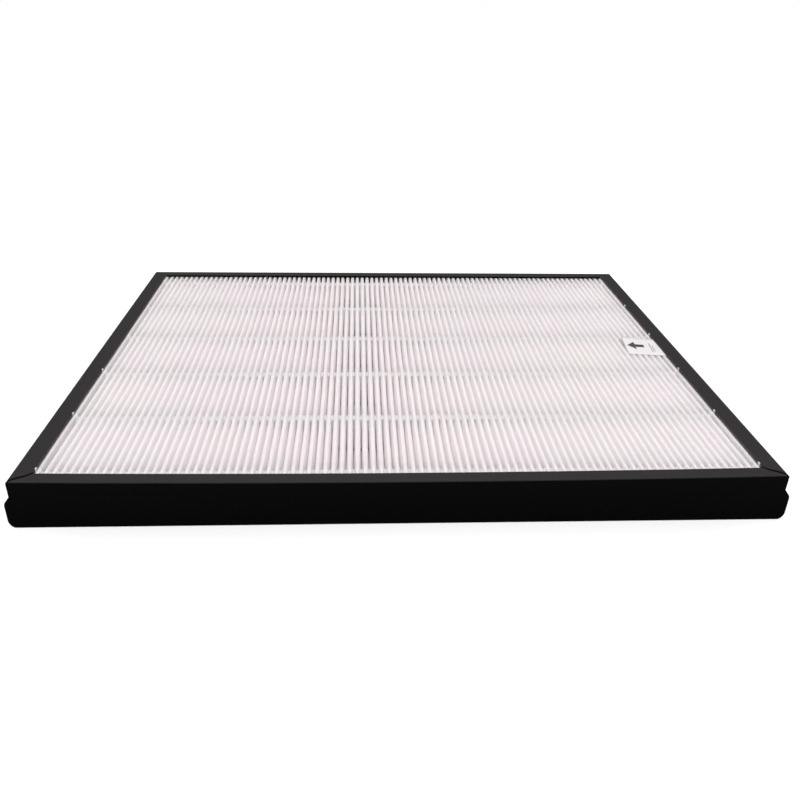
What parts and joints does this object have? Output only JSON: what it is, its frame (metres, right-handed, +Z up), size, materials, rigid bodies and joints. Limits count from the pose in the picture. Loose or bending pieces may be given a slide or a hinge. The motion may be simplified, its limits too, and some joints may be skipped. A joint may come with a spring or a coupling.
{
  "type": "pleated air filter panel",
  "caption": "Flat rectangular air filter panel: a deep-pleated white sheet held by glue beads in a black flanged frame with stepped guide rails and a ribbon pull tab.",
  "frame": {"origin": "centre of the underside, where the panel rests", "axes": "+X across the pleats, +Y along the pleats towards the back, +Z up through the panel"},
  "size_m": [0.3456, 0.2822, 0.024],
  "materials": {
    "frame_black": "matte, fine grain",
    "filter_sheet": "soft fibrous non-woven",
    "hot_melt_glue": "milky, slightly glossy",
    "sealant_dark": "satin",
    "ribbon": "woven ribbon with a dark printed field"
  },
  "bodies": {
    "root": {"frame_front": "frame_black", "frame_back": "frame_black", "frame_left": "frame_black", "frame_right": "frame_black", "pleated_media": "filter_sheet", "top_bead_1": "hot_melt_glue", "top_bead_2": "hot_melt_glue", "top_bead_3": "hot_melt_glue", "top_bead_4": "hot_melt_glue", "top_bead_5": "hot_melt_glue", "top_bead_6": "hot_melt_glue", "bottom_bead_1": "hot_melt_glue", "bottom_bead_2": "hot_melt_glue", "bottom_bead_3": "hot_melt_glue", "bottom_bead_4": "hot_melt_glue", "bottom_bead_5": "hot_melt_glue", "bottom_bead_6": "hot_melt_glue", "end_seal_front": "sealant_dark", "end_seal_back": "sealant_dark", "side_seal_left": "sealant_dark", "side_seal_right": "sealant_dark", "pull_tab": "ribbon"}
  },
  "joints": []
}
